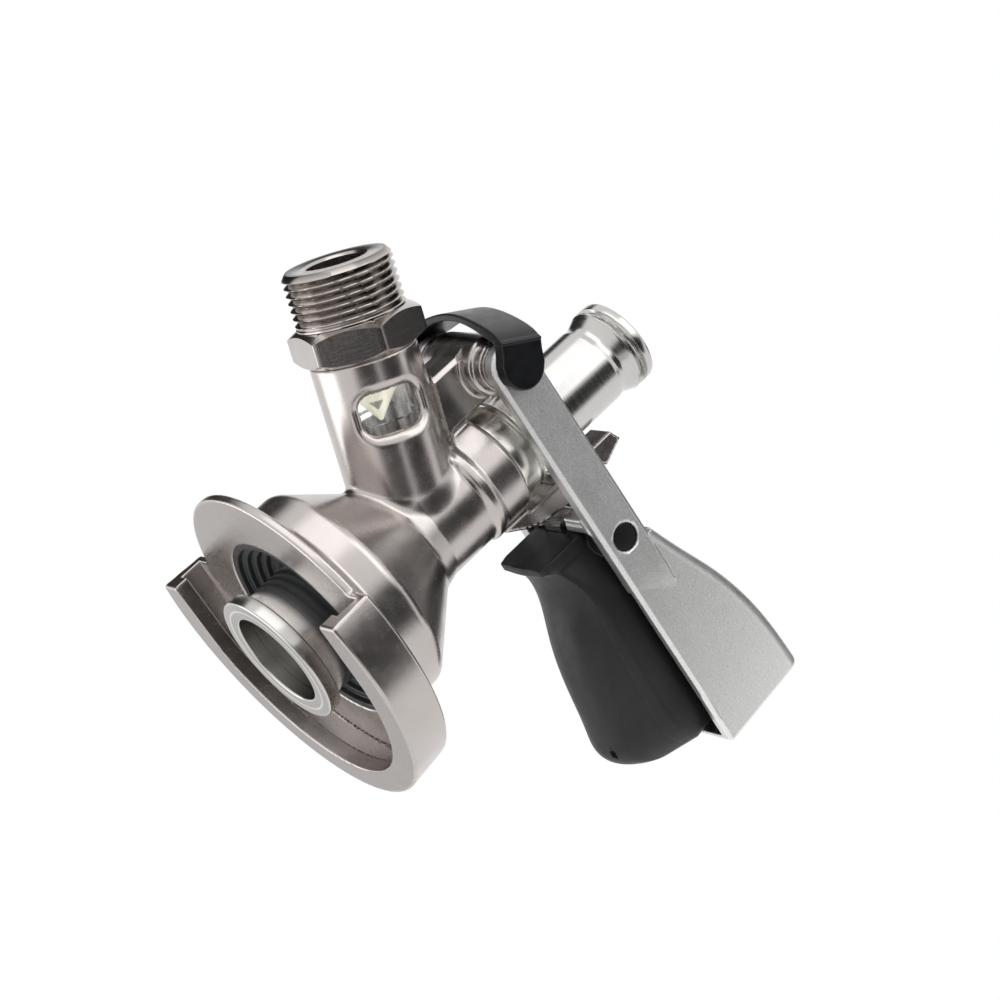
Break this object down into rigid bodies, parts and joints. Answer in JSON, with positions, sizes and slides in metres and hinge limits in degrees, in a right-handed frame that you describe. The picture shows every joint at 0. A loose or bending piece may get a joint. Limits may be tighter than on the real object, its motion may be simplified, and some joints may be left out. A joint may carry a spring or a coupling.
{
  "type": "keg coupler",
  "caption": "Lever-operated keg coupler with a sliding probe, a side gas inlet with a sight window and a latching trigger grip.",
  "frame": {"origin": "centre of the face that sits on the keg neck, on the probe's axis", "axes": "+Z along the probe towards the beer outlet, +X along the lever towards its grip, -X towards the gas inlet and the open side of the keg slot"},
  "size_m": [0.1605, 0.0894, 0.1189],
  "materials": {
    "casting": "satin, blasted and lightly tumbled casting",
    "polished_steel": "turned and polished stainless steel",
    "plated_brass": "turned, bright nickel plate",
    "die_cast": "grainy silver die casting",
    "grip_plastic": "matte black glass-filled nylon",
    "black_rubber": "moulded EPDM, matte",
    "black_elastomer": "moulded elastomer, matte",
    "milky_silicone": "translucent moulded silicone",
    "clear_glass": "clear tube",
    "bush_plastic": "acetal",
    "steel_pin": "ground stainless pin",
    "spring_steel": "stainless spring steel"
  },
  "bodies": {
    "body": {"coupler_body": "casting", "body_seal": "black_rubber", "neck_bush": "bush_plastic", "neck_oring": "black_rubber", "sight_tube": "clear_glass", "sight_tube_seals": "black_rubber", "check_valve": "milky_silicone", "gas_adaptor": "plated_brass", "adaptor_seal": "black_rubber", "hinge_pin": "steel_pin", "hinge_washers": "bush_plastic", "hinge_clip": "black_elastomer"},
    "probe": {"probe_sleeve": "polished_steel", "drive_collar": "plated_brass", "outlet_tube": "polished_steel"},
    "lever": {"lever_frame": "die_cast", "drive_pins": "steel_pin", "trigger_pin": "steel_pin", "trigger_spring": "spring_steel"},
    "trigger": {"trigger_grip": "grip_plastic", "trigger_catch": "spring_steel"}
  },
  "joints": [
    {"name": "lever_hinge", "type": "hinge", "parent": "body", "child": "lever", "pos_m": [-0.0215, 0, 0.0715], "axis": [0, -1, 0], "range_deg": [0, 38]},
    {"name": "probe_slide", "type": "slide", "parent": "body", "child": "probe", "axis": [0, 0, 1], "range_m": [0, 0.0133]},
    {"name": "trigger_pivot", "type": "hinge", "parent": "lever", "child": "trigger", "pos_m": [0.0307, 0, 0.0715], "axis": [0, -1, 0], "range_deg": [0, 8], "stiffness_Nm_per_rad": 0.6, "springref_deg": -11.46}
  ],
  "couplings": [
    {"joint": "probe_slide", "follows": "lever_hinge", "m_per_rad": 0.01996}
  ]
}
